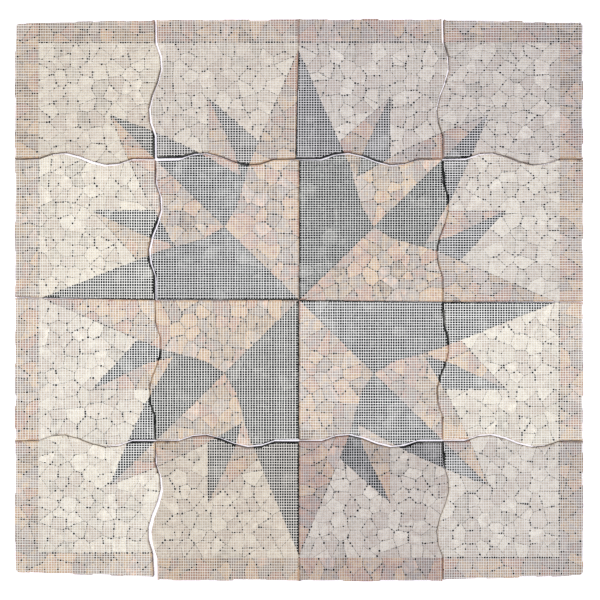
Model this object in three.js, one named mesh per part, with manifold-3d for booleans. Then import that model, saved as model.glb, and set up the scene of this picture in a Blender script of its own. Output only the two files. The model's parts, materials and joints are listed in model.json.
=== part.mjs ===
// A compass-star mosaic of broken marble: sixteen loose sheets laid out as one square, net side up.
// Each sheet is a fibreglass net with about a hundred marble stones glued under it. The stones of
// one marble on one sheet are fused into one solid, and the joints between marbles stay open.
// Millimetres, X east, Y north, Z up. The origin is the middle of the underside.
import * as THREE from "three";
import { mergeVertices } from "three/addons/utils/BufferGeometryUtils.js";
import Module from "manifold-3d";

const wasm = await Module();
wasm.setup();

// Sheets: rows a to d run from north to south, columns 1 to 4 from west to east
const INNER_WIDTH = 303;
const INNER_DEPTH = 297;
const OUTER_SHEET = 296;
const ROWS = ["a", "b", "c", "d"];
const COLUMNS = ["1", "2", "3", "4"];

// Thicknesses
const STONE_THICK = 9;
const NET_THICK = 0.6;
const CLEARANCE = 0.3;

// How far each seam stands open at its start, middle and end, from west to east or north to south
const SEAM_OPEN = {
  a1b1: [1.5, 6.5, 4], a2b2: [8, 2.5, 3], a3b3: [4, 5.5, 1.5], a4b4: [5, 4, 2],
  b1c1: [2.5, 0.8, 0.6], b2c2: [2, 0.6, 0.6], b3c3: [0.6, 0.8, 1.5], b4c4: [1, 2, 2.5],
  c1d1: [1, 2.5, 5], c2d2: [3, 4, 6], c3d3: [3.5, 5, 5.5], c4d4: [4, 5, 2],
  a1a2: [5, 5.5, 6], b1b2: [1, 7, 4], c1c2: [0.8, 1, 1], d1d2: [1, 9, 9],
  a2a3: [0.6, 0.6, 0.6], b2b3: [0.6, 0.6, 0.6], c2c3: [0.6, 0.6, 0.6], d2d3: [0.6, 0.6, 0.6],
  a3a4: [5.5, 3.5, 1.5], b3b4: [1.2, 1.5, 1], c3c4: [1.5, 1.5, 1], d3d4: [2, 1.5, 1.5],
};

// The interlocking wave on the seams between outer and inner sheets
const WAVE_HEIGHT = 13;
const WAVE_FROM = 0.16;
const WAVE_TO = 0.83;
const WAVE_STEPS = 7;

// How far the two straight middle seams wander at the two ends of each row or column
const SEAM_DRIFT = {
  a: [0, -7], b: [0, 0], c: [0, 0], d: [0, 0],
  1: [5, 0], 2: [0, 0], 3: [0, -4], 4: [-4, -4],
};

// How far the outer edge of a north or south sheet stops short, at its west and east ends
const EDGE_TRIM = {
  a1: [9, 2], a2: [2, 1], a3: [0, 0], a4: [1, 8],
  d1: [19, 9], d2: [2, 1], d3: [0, 0], d4: [3, 12],
};

// The outer edge is a row of stone ends that stand out unevenly
const STONE_END = 33;
const RAGGED = 3;
const END_NOTCH = 1.2;
const FEWEST_ENDS = 3;
const END_JITTER = 0.5;
const EDGE_SEED = { first: 11, row: 97, column: 31, side: 7 };
const CORNER_CHIP = 5;

// The net stays back from the outer edge and from the rims of the stones along the seams
const NET_INSET = 1.5;
const NET_RIM = 1.8;

// Joints between marbles, and the rose band along the outer edge
const JOINT = 0.7;
const BAND = 50;
const BAND_SHIFT = { d1: 10 };

// Areas in square millimetres under which a patch of marble, or a sheet's whole ground, isn't laid
const SMALLEST_STONE = 30;
const SMALLEST_GROUND = 5000;

// The main rays of the star stop short of the rose band
const TIP_GAP = { north: 17, east: 7, south: 5, west: 7 };

// The star, in shares of an inner sheet. Each profile runs from the tip inwards, as half width and
// distance from the centre
const MAIN_SHOULDER = [0.347, 0.967];
const MAIN_HIP = [0.437, 0.653];
const MAIN_WAIST = 0.52;
const DIAGONAL_TIP = 1.313;
const DIAGONAL_CHEEK = [1.023, 1.2];
const DIAGONAL_SHOULDER = [0.723, 1.06];
const DIAGONAL_FOOT = [0.38, 0.863];
const BETWEEN_TIP = [0.633, 1.437];
const BETWEEN_BEND = [0.447, 1.053];
const BETWEEN_FOOT = [0.397, 0.857];
const BETWEEN_INNER = [0.29, 1.13];
const BETWEEN_ROOT = [0.2, 0.857];

// Beads of glue that bridge stones of one marble, flush with the tops of the stones
const BEAD_WIDTH = 4;
const BEAD_DEPTH = 1.2;
const BEAD_GRIP = 2.5;
const RIM_SPACING = 12;

const X_LINES = [-(INNER_WIDTH + OUTER_SHEET), -INNER_WIDTH, 0, INNER_WIDTH, INNER_WIDTH + OUTER_SHEET];
const Y_LINES = [INNER_DEPTH + OUTER_SHEET, INNER_DEPTH, 0, -INNER_DEPTH, -(INNER_DEPTH + OUTER_SHEET)];
const LAST = ROWS.length;
const MIDDLE = LAST / 2;

const MARBLES = {
  cream: new THREE.MeshStandardMaterial({ color: 0xded8cb, roughness: 0.6, metalness: 0 }),
  rose: new THREE.MeshStandardMaterial({ color: 0xcdb39d, roughness: 0.6, metalness: 0 }),
  grey: new THREE.MeshStandardMaterial({ color: 0x7d807b, roughness: 0.6, metalness: 0 }),
};
const NET_FIBRE = new THREE.MeshStandardMaterial({
  color: 0xf1efe9, roughness: 0.8, metalness: 0, transparent: true, opacity: 0.3,
});

const mix = (pair, share) => pair[0] + (pair[1] - pair[0]) * share;
const mirrored = ([x, y]) => [-x, y];

// Points turned clockwise about the centre by quarter turns, so north goes to east
function turned(point, quarters) {
  let [x, y] = point;
  for (let i = 0; i < quarters; i++) [x, y] = [y, -x];
  return [x, y];
}

// A repeatable source of shares between 0 and 1
function dice(seed) {
  let state = seed;
  return () => {
    state = (state * 16807) % 2147483647;
    return state / 2147483647;
  };
}

function solidOf(geometry) {
  const bare = geometry.index ? geometry.toNonIndexed() : geometry.clone();
  bare.deleteAttribute("normal");
  bare.deleteAttribute("uv");
  const merged = mergeVertices(bare, 1e-3);
  const vertProperties = merged.attributes.position.array;
  const triVerts = new Uint32Array(merged.index.array);
  return new wasm.Manifold(new wasm.Mesh({ numProp: 3, vertProperties, triVerts }));
}

function geometryOf(solid) {
  const { vertProperties, triVerts } = solid.getMesh();
  const geometry = new THREE.BufferGeometry();
  geometry.setAttribute("position", new THREE.BufferAttribute(new Float32Array(vertProperties), 3));
  geometry.setIndex(new THREE.BufferAttribute(new Uint32Array(triVerts), 1));
  return geometry;
}

// A plan outline raised from one height to another
function slab(points, low, high) {
  const shape = new THREE.Shape(points.map(([x, y]) => new THREE.Vector2(x, y)));
  const geometry = new THREE.ExtrudeGeometry(shape, { depth: high - low, bevelEnabled: false });
  geometry.translate(0, 0, low);
  return geometry;
}

const stoneSlab = (points) => solidOf(slab(points, 0, STONE_THICK));
const joined = (solids) => solids.reduce((whole, solid) => whole.add(solid));

// A straight bar in plan from one point to another, longer by a reach at both ends
function bar(from, to, width, reach, low, high) {
  const [dx, dy] = [to[0] - from[0], to[1] - from[1]];
  const geometry = new THREE.BoxGeometry(Math.hypot(dx, dy) + 2 * reach, width, high - low);
  geometry.rotateZ(Math.atan2(dy, dx));
  geometry.translate((from[0] + to[0]) / 2, (from[1] + to[1]) / 2, (low + high) / 2);
  return solidOf(geometry);
}

// Seams and edges

function wave(along) {
  if (along <= WAVE_FROM || along >= WAVE_TO) return 0;
  return WAVE_HEIGHT * Math.sin((2 * Math.PI * (along - WAVE_FROM)) / (WAVE_TO - WAVE_FROM));
}

const shareX = (j, x) => (x - X_LINES[j]) / (X_LINES[j + 1] - X_LINES[j]);
const shareY = (i, y) => (Y_LINES[i] - y) / (Y_LINES[i] - Y_LINES[i + 1]);

// The height on the plan of the line north of row i, over column j
function lineY(i, j, x) {
  const along = shareX(j, x);
  if (i === MIDDLE) return mix(SEAM_DRIFT[COLUMNS[j]], along);
  if (i === 0) return Y_LINES[0] - mix(EDGE_TRIM[ROWS[0] + COLUMNS[j]], along);
  if (i === LAST) return Y_LINES[LAST] + mix(EDGE_TRIM[ROWS[LAST - 1] + COLUMNS[j]], along);
  return Y_LINES[i] + wave(along);
}

// The place of the line west of column j, beside row i
function lineX(i, j, y) {
  const along = shareY(i, y);
  if (j === MIDDLE) return mix(SEAM_DRIFT[ROWS[i]], along);
  if (j === 0 || j === LAST) return X_LINES[j];
  return X_LINES[j] + wave(along);
}

// Half of how far the seam between two sheets stands open, at a share along it
function halfGap(one, other, along) {
  const [start, middle, end] = SEAM_OPEN[one + other];
  return (along < 0.5 ? mix([start, middle], 2 * along) : mix([middle, end], 2 * along - 1)) / 2;
}

// How far each side of a sheet stands back from its grid line, at a share along the side
function standBack(i, j, outer, rim) {
  const sheet = (row, column) => ROWS[row] + COLUMNS[column];
  const name = sheet(i, j);
  return {
    north: (along) => (i === 0 ? outer : rim + halfGap(sheet(i - 1, j), name, along)),
    south: (along) => (i === LAST - 1 ? outer : rim + halfGap(name, sheet(i + 1, j), along)),
    west: (along) => (j === 0 ? outer : rim + halfGap(sheet(i, j - 1), name, along)),
    east: (along) => (j === LAST - 1 ? outer : rim + halfGap(name, sheet(i, j + 1), along)),
  };
}

// Shares along a side at which a seam gets its points between the corners
function seamStops(line) {
  if (line === 0 || line === LAST) return [];
  if (line === MIDDLE) return [0.5];
  const stops = [];
  for (let k = 0; k <= WAVE_STEPS; k++) stops.push(mix([WAVE_FROM, WAVE_TO], k / WAVE_STEPS));
  return stops;
}

// Points [share along, distance inwards] of a row of uneven stone ends; the middle one stands out fully
function stoneEnds(length, seed) {
  const roll = dice(seed);
  const count = Math.max(FEWEST_ENDS, Math.round(length / STONE_END));
  const chip = CORNER_CHIP / length;
  const notch = END_NOTCH / length;
  const ends = [];
  let from = chip;
  for (let k = 0; k < count; k++) {
    const to = k === count - 1 ? 1 - chip : (k + 1 + END_JITTER * (roll() - 0.5)) / count;
    const depth = k === Math.floor(count / 2) ? 0 : RAGGED * roll();
    ends.push([from + notch, depth], [to - notch, depth]);
    from = to;
  }
  return ends;
}

// The plan outline of one sheet, clockwise from its north-west corner
function sheetOutline(i, j, { outer, rim, ragged }) {
  const back = standBack(i, j, outer, rim);
  const corner = (row, column) => {
    const [down, right] = [row - i, column - j];
    return [
      lineX(i, column, Y_LINES[row]) + (right ? -back.east(down) : back.west(down)),
      lineY(row, j, X_LINES[column]) + (down ? back.south(right) : -back.north(right)),
    ];
  };
  const [northWest, northEast] = [corner(i, j), corner(i, j + 1)];
  const [southEast, southWest] = [corner(i + 1, j + 1), corner(i + 1, j)];
  const seed = EDGE_SEED.first + EDGE_SEED.row * i + EDGE_SEED.column * j;

  // A ragged side starts at the corner of its sheet, apart from the four corners of the whole set
  const start = (from, row, column) => (row % LAST === 0 && column % LAST === 0 ? [] : [from]);

  const across = (row, from, to, inwards, standing) => {
    if ((row === 0 || row === LAST) && ragged) {
      const ends = stoneEnds(Math.abs(to[0] - from[0]), seed + row).map(([along, depth]) => {
        const x = mix([from[0], to[0]], along);
        return [x, lineY(row, j, x) + inwards * (outer + depth)];
      });
      return [...start(from, row, row === i ? j : j + 1), ...ends];
    }
    const side = seamStops(row).map((along) => {
      const x = mix([from[0], to[0]], along);
      return [x, lineY(row, j, x) + inwards * standing(shareX(j, x))];
    });
    return [from, ...side];
  };
  const along = (column, from, to, inwards, standing) => {
    if ((column === 0 || column === LAST) && ragged) {
      const sideSeed = seed + EDGE_SEED.side * column;
      const ends = stoneEnds(Math.abs(to[1] - from[1]), sideSeed).map(([share, depth]) => {
        const y = mix([from[1], to[1]], share);
        return [lineX(i, column, y) + inwards * (outer + depth), y];
      });
      return [...start(from, column === j ? i + 1 : i, column), ...ends];
    }
    const side = seamStops(column).map((share) => {
      const y = mix([from[1], to[1]], share);
      return [lineX(i, column, y) + inwards * standing(shareY(i, y)), y];
    });
    return [from, ...side];
  };
  return [
    ...across(i, northWest, northEast, -1, back.north),
    ...along(j + 1, northEast, southEast, -1, back.east),
    ...across(i + 1, southEast, southWest, 1, back.south),
    ...along(j, southWest, northWest, 1, back.west),
  ];
}

// The star

const FIELD_X = X_LINES[LAST] - BAND;
const FIELD_Y = Y_LINES[0] - BAND;
const MAIN_REACH = [
  FIELD_Y - TIP_GAP.north, FIELD_X - TIP_GAP.east, FIELD_Y - TIP_GAP.south, FIELD_X - TIP_GAP.west,
];

// The axis of a main ray follows the middle seams: tip, the two sides of the cross seam, centre
function mainAxis(quarter) {
  const upright = quarter % 2 === 0;
  const positive = quarter < 2;
  const step = upright ? INNER_DEPTH : INNER_WIDTH;
  const outerKey = { 0: "a", 1: "4", 2: "d", 3: "1" }[quarter];
  const innerKey = { 0: "b", 1: "3", 2: "c", 3: "2" }[quarter];
  // Rows run down from north and columns run up from west, so the outer end is first in a, and last in 4
  const outerFirst = quarter === 0 || quarter === 3;
  const [outerFar, outerNear] = outerFirst ? SEAM_DRIFT[outerKey] : [...SEAM_DRIFT[outerKey]].reverse();
  const innerFar = outerFirst ? SEAM_DRIFT[innerKey][0] : SEAM_DRIFT[innerKey][1];
  const reach = MAIN_REACH[quarter];
  const tipDrift = mix([outerNear, outerFar], (reach - step) / OUTER_SHEET);
  const stations = [[reach, tipDrift], [step, outerNear], [step, innerFar], [0, 0]];
  return stations.map(([distance, drift]) => {
    const reached = positive ? distance : -distance;
    return upright ? [drift, reached] : [reached, drift];
  });
}

// Points of the star in millimetres, turned to one quarter and stretched with the inner sheets
const onQuarter = (points, quarter) =>
  points.map((point) => {
    const [x, y] = turned(point, quarter);
    return [x * INNER_WIDTH, y * INNER_DEPTH];
  });

// Two halves of every ray: the clockwise half is grey marble, the other is rose
function starFields() {
  const marbles = () => ({ rose: [], grey: [] });
  const fields = { main: marbles(), diagonal: marbles(), between: marbles() };
  for (let quarter = 0; quarter < 4; quarter++) {
    const turn = (points) => onQuarter(points, quarter);
    const axis = mainAxis(quarter);
    const side = [[MAIN_WAIST, MAIN_WAIST], MAIN_HIP, MAIN_SHOULDER];
    fields.main.grey.push(stoneSlab([...axis, ...turn(side)]));
    fields.main.rose.push(stoneSlab([...axis, ...turn(side.map(mirrored))]));

    const cheek = [[DIAGONAL_TIP, DIAGONAL_TIP], DIAGONAL_CHEEK, DIAGONAL_SHOULDER, DIAGONAL_FOOT, [0, 0]];
    const swapped = cheek.map(([x, y]) => [y, x]);
    fields.diagonal.rose.push(stoneSlab(turn(cheek)));
    fields.diagonal.grey.push(stoneSlab(turn(swapped)));

    const spine = [BETWEEN_TIP, BETWEEN_BEND, BETWEEN_FOOT];
    const innerHalf = [...spine, BETWEEN_ROOT, BETWEEN_INNER];
    const outerHalf = [...spine, [BETWEEN_TIP[0], BETWEEN_FOOT[1]]];
    fields.between.rose.push(stoneSlab(turn(innerHalf)), stoneSlab(turn(outerHalf.map(mirrored))));
    fields.between.grey.push(stoneSlab(turn(outerHalf)), stoneSlab(turn(innerHalf.map(mirrored))));
  }
  return fields;
}

// Where two straight lines through pairs of points cross
function crossing([a, b], [c, d]) {
  const [rx, ry, sx, sy] = [b[0] - a[0], b[1] - a[1], d[0] - c[0], d[1] - c[1]];
  const share = ((c[0] - a[0]) * sy - (c[1] - a[1]) * sx) / (rx * sy - ry * sx);
  return [a[0] + share * rx, a[1] + share * ry];
}

// Every line along which two marbles meet, as short runs of points
function jointRuns() {
  const runs = [];
  const underEdge = crossing(
    [BETWEEN_TIP, [BETWEEN_TIP[0], 0]],
    [DIAGONAL_SHOULDER, DIAGONAL_FOOT],
  );
  for (let quarter = 0; quarter < 4; quarter++) {
    const turn = (points) => onQuarter(points, quarter);
    const [tip] = mainAxis(quarter);
    const side = [MAIN_SHOULDER, MAIN_HIP, [MAIN_WAIST, MAIN_WAIST]];
    runs.push([tip, ...turn([...side, [0, 0]])], [tip, ...turn(side.map(mirrored))]);

    const cheek = [[DIAGONAL_TIP, DIAGONAL_TIP], DIAGONAL_CHEEK, DIAGONAL_SHOULDER, DIAGONAL_FOOT];
    runs.push(turn(cheek), turn(cheek.map(([x, y]) => [y, x])));
    runs.push(turn([[DIAGONAL_TIP, DIAGONAL_TIP], [MAIN_WAIST, MAIN_WAIST]]));

    for (const hand of [(point) => point, mirrored]) {
      runs.push(turn([BETWEEN_TIP, BETWEEN_BEND, BETWEEN_FOOT].map(hand)));
      runs.push(turn([BETWEEN_TIP, BETWEEN_INNER].map(hand)));
      runs.push(turn([BETWEEN_TIP, underEdge].map(hand)));
    }
  }
  return runs;
}

function cutAlong(runs) {
  const cuts = [];
  for (const run of runs)
    for (let k = 1; k < run.length; k++)
      cuts.push(bar(run[k - 1], run[k], JOINT, JOINT / 2, -STONE_THICK, 2 * STONE_THICK));
  return joined(cuts);
}

// Glue beads

// Plan points along the rim of a solid's top face, no further apart than a spacing
function rimPoints(solid) {
  const { vertProperties, triVerts } = solid.getMesh();
  const onTop = (v) => vertProperties[3 * v + 2] > STONE_THICK / 2;
  const edges = new Map();
  for (let k = 0; k < triVerts.length; k += 3) {
    const corners = [triVerts[k], triVerts[k + 1], triVerts[k + 2]];
    if (!corners.every(onTop)) continue;
    corners.forEach((a, m) => {
      const b = corners[(m + 1) % 3];
      const key = Math.min(a, b) + "_" + Math.max(a, b);
      edges.set(key, edges.has(key) ? null : [a, b]);
    });
  }
  const plan = (v) => [vertProperties[3 * v], vertProperties[3 * v + 1]];
  const open = [...edges.values()].filter(Boolean);
  return open.flatMap(([a, b]) => pointsAlong([plan(a), plan(b)], RIM_SPACING));
}

function insideOutline([x, y], outline) {
  let inside = false;
  outline.forEach(([ax, ay], k) => {
    const [bx, by] = outline[(k + 1) % outline.length];
    if (ay > y !== by > y && x < ((bx - ax) * (y - ay)) / (by - ay) + ax) inside = !inside;
  });
  return inside;
}

function pointsAlong([a, b], spacing) {
  const count = Math.max(1, Math.ceil(Math.hypot(b[0] - a[0], b[1] - a[1]) / spacing));
  return Array.from({ length: count + 1 }, (_, k) => [
    mix([a[0], b[0]], k / count), mix([a[1], b[1]], k / count),
  ]);
}

function farApart(bead, other) {
  const room = 2 * BEAD_WIDTH + 2 * BEAD_GRIP;
  return pointsAlong(bead, BEAD_WIDTH).every(([x, y]) =>
    pointsAlong(other, BEAD_WIDTH).every(([u, v]) => Math.hypot(x - u, y - v) > room),
  );
}

// The shortest straight bead between two solids that stays on the sheet and clear of other beads
function shortestBead(one, other, outline, taken) {
  const pairs = [];
  for (const p of rimPoints(one))
    for (const q of rimPoints(other)) pairs.push([Math.hypot(p[0] - q[0], p[1] - q[1]), p, q]);
  pairs.sort((s, t) => s[0] - t[0]);
  const fits = ([, p, q]) =>
    pointsAlong([p, q], BEAD_WIDTH).every((point) => insideOutline(point, outline)) &&
    taken.every((bead) => farApart([p, q], bead));
  return pairs.find(fits);
}

// Ties the loose patches of one marble on a sheet together, and gives the beads that it took
function tiedPatches(solid, outline, taken) {
  const patches = solid.decompose().filter((patch) => patch.volume() > SMALLEST_STONE * STONE_THICK);
  patches.sort((a, b) => b.volume() - a.volume());
  const beads = [];
  const tied = [patches.shift()];
  while (patches.length) {
    let best = null;
    patches.forEach((patch, k) => {
      for (const anchor of tied) {
        const found = shortestBead(patch, anchor, outline, taken);
        if (found && (!best || found[0] < best.pair[0])) best = { pair: found, k };
      }
    });
    const [, from, to] = best.pair;
    beads.push([from, to]);
    tied.push(patches.splice(best.k, 1)[0]);
  }
  return { body: joined(tied), beads };
}

const beadSolid = ([from, to], limits) =>
  bar(from, to, BEAD_WIDTH, BEAD_GRIP, STONE_THICK - BEAD_DEPTH, STONE_THICK).intersect(limits);

const beadChannel = ([from, to]) =>
  bar(
    from, to, BEAD_WIDTH + 2 * CLEARANCE, BEAD_GRIP + CLEARANCE,
    STONE_THICK - BEAD_DEPTH - CLEARANCE, 2 * STONE_THICK,
  );

// Building

const fields = starFields();
const mains = joined([...fields.main.rose, ...fields.main.grey]);
const diagonals = joined([...fields.diagonal.rose, ...fields.diagonal.grey]).subtract(mains);
const upper = mains.add(diagonals);
const starOf = (marble) =>
  joined(fields.main[marble])
    .add(joined(fields.diagonal[marble]).subtract(mains))
    .add(joined(fields.between[marble]).subtract(upper));
const star = { rose: starOf("rose"), grey: starOf("grey") };
const starJoints = cutAlong(jointRuns());

// The field inside the rose band, and the joint along it, on one sheet
function bandParts(name) {
  const shift = BAND_SHIFT[name] ?? 0;
  const north = FIELD_Y - (name[0] === "a" ? shift : 0);
  const south = -FIELD_Y + (name[0] === "d" ? shift : 0);
  const ring = [[-FIELD_X, north], [FIELD_X, north], [FIELD_X, south], [-FIELD_X, south]];
  return { field: stoneSlab(ring), joint: cutAlong([[...ring, ring[0]]]) };
}

function marbleSolids(name, i, j) {
  const outline = sheetOutline(i, j, { outer: 0, rim: 0, ragged: true });
  const sheet = stoneSlab(outline);
  const { field, joint } = bandParts(name);
  const joints = starJoints.add(joint);
  const rose = sheet.intersect(star.rose.add(sheet.subtract(field)));
  const ground = sheet.intersect(field).subtract(star.rose).subtract(star.grey);
  const cut = { rose: rose.subtract(joints), grey: sheet.intersect(star.grey).subtract(joints) };
  // The inner sheets have only slivers of ground between the rays, and they are laid in rose
  if (ground.volume() > SMALLEST_GROUND * STONE_THICK) cut.cream = ground.subtract(joints);
  else cut.rose = rose.add(ground).subtract(joints);
  const marbles = Object.keys(cut);
  const beads = {};
  const bodies = {};
  for (const marble of marbles) {
    const taken = Object.values(beads).flat();
    const made = tiedPatches(cut[marble], outline, taken);
    bodies[marble] = made.body;
    beads[marble] = made.beads;
  }
  return marbles.map((marble) => {
    let body = bodies[marble];
    for (const other of marbles)
      if (other !== marble) for (const bead of beads[other]) body = body.subtract(beadChannel(bead));
    for (const bead of beads[marble]) body = body.add(beadSolid(bead, sheet));
    return { marble, body };
  });
}

function named(mesh, name) {
  mesh.name = name;
  return mesh;
}

// One sheet: its fused stones of each marble, and the net that carries them
function netSheet(i, j) {
  const name = ROWS[i] + COLUMNS[j];
  const sheet = new THREE.Group();
  for (const { marble, body } of marbleSolids(name, i, j))
    sheet.add(named(new THREE.Mesh(geometryOf(body), MARBLES[marble]), marble + "_stones_" + name));
  const low = STONE_THICK + CLEARANCE;
  const netOutline = sheetOutline(i, j, { outer: NET_INSET, rim: NET_RIM, ragged: false });
  const film = slab(netOutline, low, low + NET_THICK);
  sheet.add(named(new THREE.Mesh(film, NET_FIBRE), "net_" + name));
  return sheet;
}

const mosaic = new THREE.Group();
for (let i = 0; i < ROWS.length; i++)
  for (let j = 0; j < COLUMNS.length; j++) mosaic.add(netSheet(i, j));

export default mosaic;
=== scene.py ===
# %% [markdown]
# # A compass star of broken marble on sixteen nets
# The object is a floor mosaic. Its stones are pieces of broken marble, glued by the hundred under a
# glass-fibre net, and sixteen such sheets lie loose on a white floor with their net side up.
# So the eye meets the net first, then the sawn backs of the stones through its holes, and then
# the dark joints between the stones.
#
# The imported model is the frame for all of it. It already holds every sheet's outline, the star
# and the band, so this script takes its outlines from there and adds the single stones, the
# strands of the nets and the finishes.

# %% Load the frame
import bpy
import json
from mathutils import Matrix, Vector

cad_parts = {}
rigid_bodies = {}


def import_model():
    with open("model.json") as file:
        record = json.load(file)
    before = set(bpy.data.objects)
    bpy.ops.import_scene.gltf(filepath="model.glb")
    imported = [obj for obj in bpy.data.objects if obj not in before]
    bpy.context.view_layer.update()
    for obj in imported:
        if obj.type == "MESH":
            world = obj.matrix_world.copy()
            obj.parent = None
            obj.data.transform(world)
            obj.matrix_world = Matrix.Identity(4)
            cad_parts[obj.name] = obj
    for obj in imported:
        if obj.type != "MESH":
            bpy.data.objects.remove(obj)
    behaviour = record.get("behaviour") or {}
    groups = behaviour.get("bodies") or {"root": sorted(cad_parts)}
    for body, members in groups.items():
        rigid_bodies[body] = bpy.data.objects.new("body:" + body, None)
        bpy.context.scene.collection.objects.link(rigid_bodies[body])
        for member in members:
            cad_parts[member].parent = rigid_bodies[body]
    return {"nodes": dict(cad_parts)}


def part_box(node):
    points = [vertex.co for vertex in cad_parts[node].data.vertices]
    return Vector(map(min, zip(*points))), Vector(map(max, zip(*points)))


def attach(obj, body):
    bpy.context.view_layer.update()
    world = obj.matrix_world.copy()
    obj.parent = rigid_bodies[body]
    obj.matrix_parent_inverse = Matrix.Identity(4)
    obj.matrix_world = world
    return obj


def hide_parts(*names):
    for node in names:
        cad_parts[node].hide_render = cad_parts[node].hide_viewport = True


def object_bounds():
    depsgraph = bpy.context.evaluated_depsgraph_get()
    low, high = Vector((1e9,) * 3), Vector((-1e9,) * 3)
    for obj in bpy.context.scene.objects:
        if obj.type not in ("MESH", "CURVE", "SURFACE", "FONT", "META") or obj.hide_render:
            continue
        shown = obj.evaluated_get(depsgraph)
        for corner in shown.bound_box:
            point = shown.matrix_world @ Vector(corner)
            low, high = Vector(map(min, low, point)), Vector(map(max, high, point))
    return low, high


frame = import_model()

cad_box = [list(corner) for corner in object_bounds()]
print("nodes in the frame:", len(frame["nodes"]))

# %% The modules that the steps use
import bisect
import json
import math
import random

import bmesh
import bpy
from mathutils import Matrix, Vector, noise

MM = 0.001
SHEETS = sorted(name[len("net_"):] for name in frame["nodes"] if name.startswith("net_"))
MARBLES = ("cream", "rose", "grey")
print("sheets:", " ".join(SHEETS))

# %% [markdown]
# ## The camera
# The photograph looks straight down from about a metre, with the whole square in view. A wide
# lens that close also sees the walls of the stones at a seam, on the side that faces the middle.
# The width of the view is the mosaic's own width plus the white margin, and the camera's height
# over the stones follows from it.

# %% Camera
VIEW_WIDTH = 1263 * MM
VIEW_MIDDLE = 2 * MM
LENS = 29
SENSOR = 36

camera_data = bpy.data.cameras.new("camera")
camera_data.lens = LENS
camera_data.sensor_width = SENSOR
camera = bpy.data.objects.new("camera", camera_data)
camera_height = VIEW_WIDTH * LENS / SENSOR + cad_box[1][2]
camera.location = (VIEW_MIDDLE, 0, camera_height)
bpy.context.scene.collection.objects.link(camera)
bpy.context.scene.camera = camera
print("camera height in metres:", round(camera_height, 3))

# %% [markdown]
# ## Outlines from the frame
# Each CAD node is a slab with the right outline. Its underside is flat and whole, so a copy of
# the mesh with everything else deleted is the plan of the slab. Dissolving the edges between its
# flat triangles leaves one many-sided face for each patch of marble.

# %% The plan of a node
FLAT_ANGLE = math.radians(0.3)
SAME_POINT = 0.002 * MM
SAME_LEVEL = 0.01 * MM


def underside(node):
    """A bmesh with the flat underside of a CAD node, facing up at height zero."""
    flat = bmesh.new()
    flat.from_mesh(frame["nodes"][node].data)
    bmesh.ops.remove_doubles(flat, verts=flat.verts, dist=SAME_POINT)
    lowest = min(vert.co.z for vert in flat.verts)
    upper = [face for face in flat.faces
             if face.calc_center_median().z > lowest + SAME_LEVEL]
    bmesh.ops.delete(flat, geom=upper, context="FACES")
    bmesh.ops.dissolve_limit(flat, angle_limit=FLAT_ANGLE, verts=flat.verts, edges=flat.edges)
    bmesh.ops.translate(flat, verts=flat.verts, vec=(0, 0, -lowest))
    bmesh.ops.reverse_faces(flat, faces=flat.faces)
    return flat


def one_by_one(flat):
    """A bmesh for each face of a flat bmesh, which is freed."""
    singles = []
    for index in range(len(flat.faces)):
        single = flat.copy()
        single.faces.ensure_lookup_table()
        others = [face for face in single.faces if face.index != index]
        bmesh.ops.delete(single, geom=others, context="FACES")
        singles.append(single)
    flat.free()
    return singles


print("patches of grey marble on sheet b3:", len(one_by_one(underside("grey_stones_b3"))))

# %% [markdown]
# The CAD slabs keep a hair of air between two marbles. Seen from straight above, the lit floor
# would shine through it as a white line, which the real mosaic doesn't show, because its stones
# touch under the net. So each patch is widened by a third of a millimetre before it is cut up. At a
# very sharp corner the outline would shoot far out, so what a corner may gain is limited.

# %% Widening a patch
SPREAD = 0.32 * MM
BLUNT = 0.4


def widened(flat, by):
    """Moves the outline of a one-faced bmesh outwards by a distance."""
    places = {}
    for loop in next(iter(flat.faces)).loops:
        before = (loop.vert.co - loop.link_loop_prev.vert.co).normalized()
        after = (loop.link_loop_next.vert.co - loop.vert.co).normalized()
        outwards = Vector((before.y + after.y, -before.x - after.x, 0))
        places[loop.vert] = loop.vert.co + by * outwards / max(BLUNT, 1 + before.dot(after))
    for vert, place in places.items():
        vert.co = place


print("each patch is widened by", round(SPREAD / MM, 2), "mm")

# %% [markdown]
# ## Shards
# Crazy paving is laid from shards of broken slabs. A first shard is the ground that lies nearer
# to one point than to any other. So points are strewn over a patch, and around each of them the
# patch is cut back by one straight plane against every neighbour. The planes stand a hair short
# of the middle, because the shards almost touch at half their thickness.

# %% Points strewn over a patch
SHARD = 31 * MM
STRAY = 0.34
ROW_PITCH = 0.866
EDGE_ROOM = 0.12
TRIES = 60


def inside(point, ring):
    """Whether a plan point lies within a ring of plan points."""
    crossings = 0
    for a, b in zip(ring, ring[1:] + ring[:1]):
        if (a.y > point.y) != (b.y > point.y):
            if point.x < (b.x - a.x) * (point.y - a.y) / (b.y - a.y) + a.x:
                crossings += 1
    return crossings % 2 == 1


def room_around(point, ring):
    """How far a point is from the nearest side of a ring."""
    best = math.inf
    for a, b in zip(ring, ring[1:] + ring[:1]):
        side = b - a
        share = max(0, min(1, (point - a).dot(side) / side.length_squared))
        best = min(best, (point - a - share * side).length)
    return best


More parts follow.
